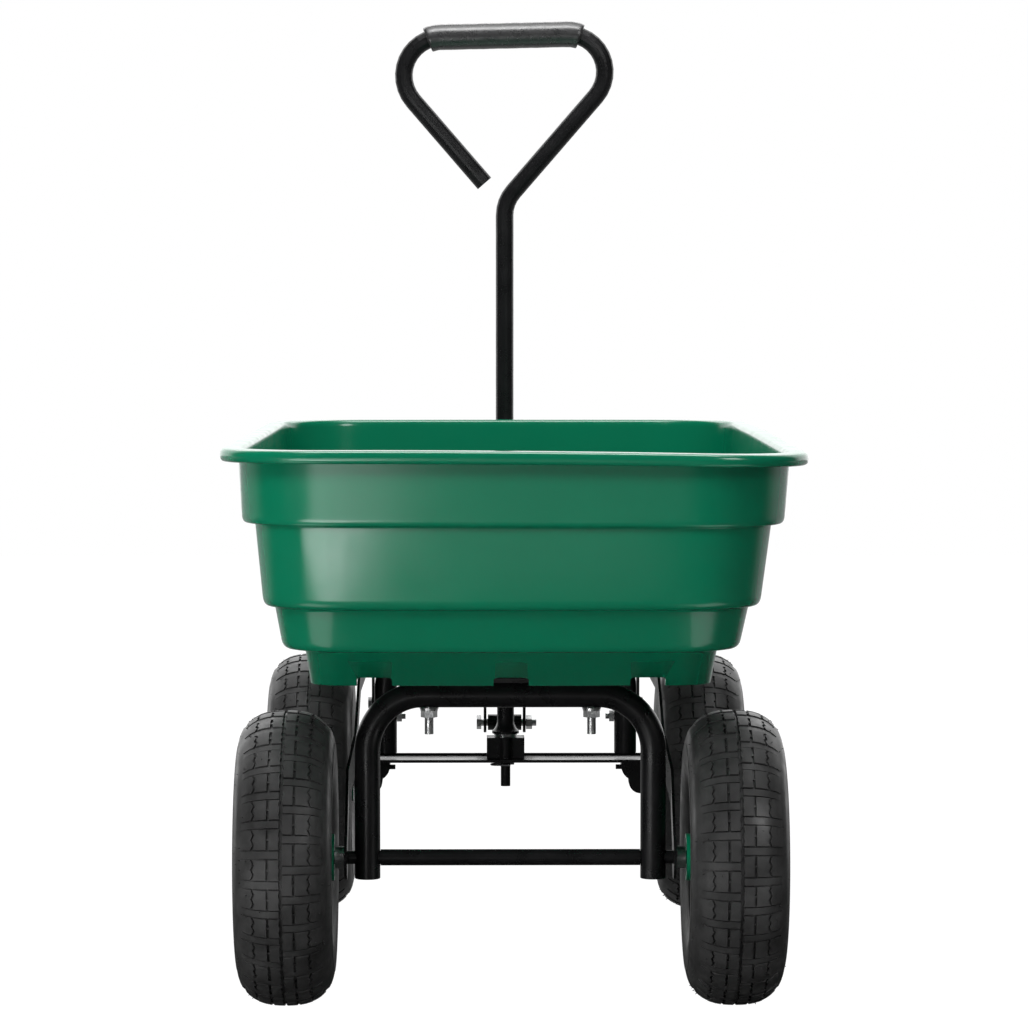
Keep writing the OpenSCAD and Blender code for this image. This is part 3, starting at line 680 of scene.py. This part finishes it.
def make_tyres():
    verts, faces = [], []
    for add in (add_carcass, add_tread, add_hairs, add_sidewall_rings):
        add(verts, faces)
    # each wheel stands at its own angle
    turns = {"rear_left": 0.05, "rear_right": 0.13, "front_left": 0.11, "front_right": 0.02}
    for wheel, turn in turns.items():
        place = (
            Matrix.Translation(centre_of(wheel + "_tyre"))
            @ Matrix.Rotation(turn, 4, "X")
            @ Matrix.Rotation(math.pi if "right" in wheel else 0, 4, "Z")
        )
        moved = [place @ v for v in verts]
        tyre = add_mesh(wheel + "_tread_tyre", moved, faces, "tyre_rubber", 32)
        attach(tyre, wheel + "_wheel")
        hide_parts(wheel + "_tyre")


# ------------------------------------------------------------------ grip


def make_grip():
    """Foam sleeve that follows the handle's top bar into both corners."""
    radius = 13.9
    bore = 9.65
    corner_r = 39.8      # radius of the handle's corners
    bar_half = 66.5      # half the straight part
    tail = 15.0          # how far the sleeve goes on into a corner
    count = 64           # steps along the sleeve
    sides = 40           # steps round it
    ends = ((12.2, 0.0), (13.3, 0.5))    # radius and distance from the end
    slope, tip_back = math.radians(1.35), math.radians(1.5)

    stations = []
    total = bar_half + tail
    for i in range(count + 1):
        d = -total + 2 * total * i / count
        beyond = max(0.0, abs(d) - bar_half) / corner_r
        x = math.copysign(min(abs(d), bar_half) + corner_r * math.sin(beyond), d)
        z = -corner_r * (1 - math.cos(beyond))
        heading = -math.copysign(beyond, d)
        stations.append((d, x, z, heading))

    def ring(x, z, heading, r):
        out = []
        for k in range(sides):
            a = math.tau * k / sides
            out.append((x - math.sin(heading) * r * math.sin(a),
                        r * math.cos(a), z + math.cos(heading) * r * math.sin(a)))
        return out

    first, last = stations[0], stations[-1]
    rings = [ring(*first[1:], bore)]
    for r, back in ends:
        rings.append(ring(first[1] + back, first[2], first[3], r))
    for d, x, z, heading in stations[1:-1]:
        swell = 0.18 * math.sin(d * 0.21) + 0.1 * math.sin(d * 0.57 + 1.0)
        rings.append(ring(x, z, heading, radius - 0.15 + swell * 0.4))
    for r, back in reversed(ends):
        rings.append(ring(last[1] - back, last[2], last[3], r))
    rings.append(ring(*last[1:], bore))
    # back through the bore, at fewer stations
    rings += [ring(x, z, heading, bore) for _, x, z, heading in reversed(stations[4:-4:8])]

    turn = Matrix.Rotation(tip_back, 4, "X") @ Matrix.Rotation(-slope, 4, "Y")
    mid = centre_of("handle_grip")
    verts, faces = [], []
    join_loop(verts, faces, [[turn @ (Vector(p) * MM) + mid for p in r] for r in rings])
    grip = add_mesh("foam_grip", verts, faces, "grip_foam", 60)
    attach(grip, "handle")
    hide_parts("handle_grip")


# ------------------------------------------------------------------ studio


def make_world():
    """White to the camera, a bright backdrop and a dim room to gloss, and else a soft glow."""
    world = bpy.data.worlds.new("studio")
    bpy.context.scene.world = world
    world.use_nodes = True
    tree = world.node_tree
    tree.nodes.clear()
    path = tree.nodes.new("ShaderNodeLightPath")
    way = axes(tree, "Generated")
    kind = "ShaderNodeBackground"
    soft = white(tree, kind, map_range(tree, way["Z"], -0.3, 0.7, 0.09, 0.12))
    gloss = white(tree, kind, map_range(tree, way["Y"], 0.46, 0.62, 0.035, 1.6))
    room = mix_shaders(tree, path.outputs["Is Glossy Ray"], soft, gloss)
    seen = mix_shaders(tree, path.outputs["Is Camera Ray"], room, white(tree, kind, 1.0))
    out = tree.nodes.new("ShaderNodeOutputWorld")
    tree.links.new(seen, out.inputs["Surface"])


def area(name, place, target, size, power, diffuse=True, glossy=True):
    data = bpy.data.lights.new(name, "AREA")
    data.shape = "RECTANGLE"
    data.size, data.size_y = size
    data.energy = power
    light = bpy.data.objects.new(name, data)
    light.location = place
    light.rotation_euler = (Vector(target) - Vector(place)).to_track_quat("-Z", "Y").to_euler()
    bpy.context.scene.collection.objects.link(light)
    light.visible_camera = False
    light.visible_diffuse = diffuse
    light.visible_glossy = glossy
    return light


def card(name, x0, x1, y0, y1, radiance):
    """A sheet on the floor, facing up, that only the cart's gloss sees."""
    size = (x1 - x0, y1 - y0)
    place = ((x0 + x1) / 2, (y0 + y1) / 2, 0.01)
    power = radiance * math.pi * size[0] * size[1]
    light = area(name, place, (0, 0, 1), size, power, diffuse=False)
    light.rotation_euler = (math.pi, 0, 0)


def make_lights():
    area("overhead", (0.0, 0.1, 2.9), (0, 0.1, 0.4), (2.2, 2.2), 34)
    area("left_box", (-1.3, -2.5, 2.2), (-0.1, -0.3, 0.3), (1.0, 1.0), 62, glossy=False)
    area("right_box", (1.7, -2.6, 1.9), (0.1, -0.3, 0.3), (0.9, 0.9), 22)
    area("back_top", (0.0, 2.3, 2.1), (0, 0.2, 0.6), (2.4, 1.0), 14)
    # low from the left, for the tyres
    area("low_left", (-2.3, -1.9, 0.22), (-0.25, -0.3, 0.13), (1.0, 0.4), 38, glossy=False)
    # down into the tub
    area("inside_light", (0.0, -0.2, 1.5), (0, 0.35, 0.42), (0.6, 0.4), 8, glossy=False)
    # for the light edge along the rim and the grip
    area("edge_panel", (0.0, -0.45, 2.8), (0, -0.45, 0.5), (1.6, 0.9), 34, diffuse=False)
    # sheets that the tub's sloping faces mirror
    card("left_sheet", -1.2, -0.26, -1.9, -1.2, 6.9)
    card("far_left_sheet", -1.4, -0.3, -3.0, -2.2, 3.4)
    card("front_sheet", -0.27, 0.27, -1.75, -1.3, 0.5)
    card("far_front_sheet", -0.54, 0.54, -2.9, -2.1, 0.5)
    card("near_left_sheet", -0.6, -0.24, -0.8, -0.52, 1.6)
    card("near_right_sheet", 0.24, 0.6, -0.8, -0.52, 1.2)


def make_floor():
    """Pale and matt, with a faint shadow, and dim in the cart's own gloss."""
    reach, level = 6.0, -0.0005
    mesh = bpy.data.meshes.new("floor")
    mesh.from_pydata(
        [(-reach, -reach, level), (reach, -reach, level),
         (reach, reach, level), (-reach, reach, level)], [], [(0, 1, 2, 3)]
    )
    floor = bpy.data.objects.new("floor", mesh)
    bpy.context.scene.collection.objects.link(floor)
    mat = bpy.data.materials.new("floor")
    mat.use_nodes = True
    tree = mat.node_tree
    tree.nodes.clear()
    path = tree.nodes.new("ShaderNodeLightPath")
    kind = "ShaderNodeEmission"
    glow = white(tree, kind, 1.17)
    matt = tree.nodes.new("ShaderNodeBsdfDiffuse")
    matt.inputs["Color"].default_value = (0.55, 0.55, 0.55, 1)
    dim = white(tree, kind, map_range(tree, axes(tree, "Object")["Y"], 0.1, 0.9, 0.03, 0.45))
    # the share of glow in what the camera sees; the rest shows the shadow
    share = tree.nodes.new("ShaderNodeMath")
    share.operation = "MULTIPLY"
    share.inputs[1].default_value = 0.86
    tree.links.new(path.outputs["Is Camera Ray"], share.inputs[0])
    unseen = mix_shaders(tree, path.outputs["Is Glossy Ray"], matt.outputs["BSDF"], dim)
    out = tree.nodes.new("ShaderNodeOutputMaterial")
    tree.links.new(mix_shaders(tree, share.outputs["Value"], unseen, glow), out.inputs["Surface"])
    mesh.materials.append(mat)


def make_camera():
    """The photograph's view, from behind the rear axle and a little to the left."""
    back, height, aside = 3.669, 0.641, -0.0315    # metres
    tilt, turn = 3.106, -0.5435                    # degrees
    data = bpy.data.cameras.new("camera")
    data.lens = 143.58
    data.sensor_width = 36
    data.clip_end = 50
    camera = bpy.data.objects.new("camera", data)
    camera.location = (aside, centre_of("rear_axle").y - back, height)
    camera.rotation_euler = (math.radians(90 - tilt), 0, math.radians(turn))
    bpy.context.scene.collection.objects.link(camera)
    bpy.context.scene.camera = camera


make_camera()
make_world()
make_lights()
make_floor()
make_tub()
make_tyres()
make_grip()

scene = bpy.context.scene
scene.view_settings.view_transform = "Standard"
scene.view_settings.look = "None"
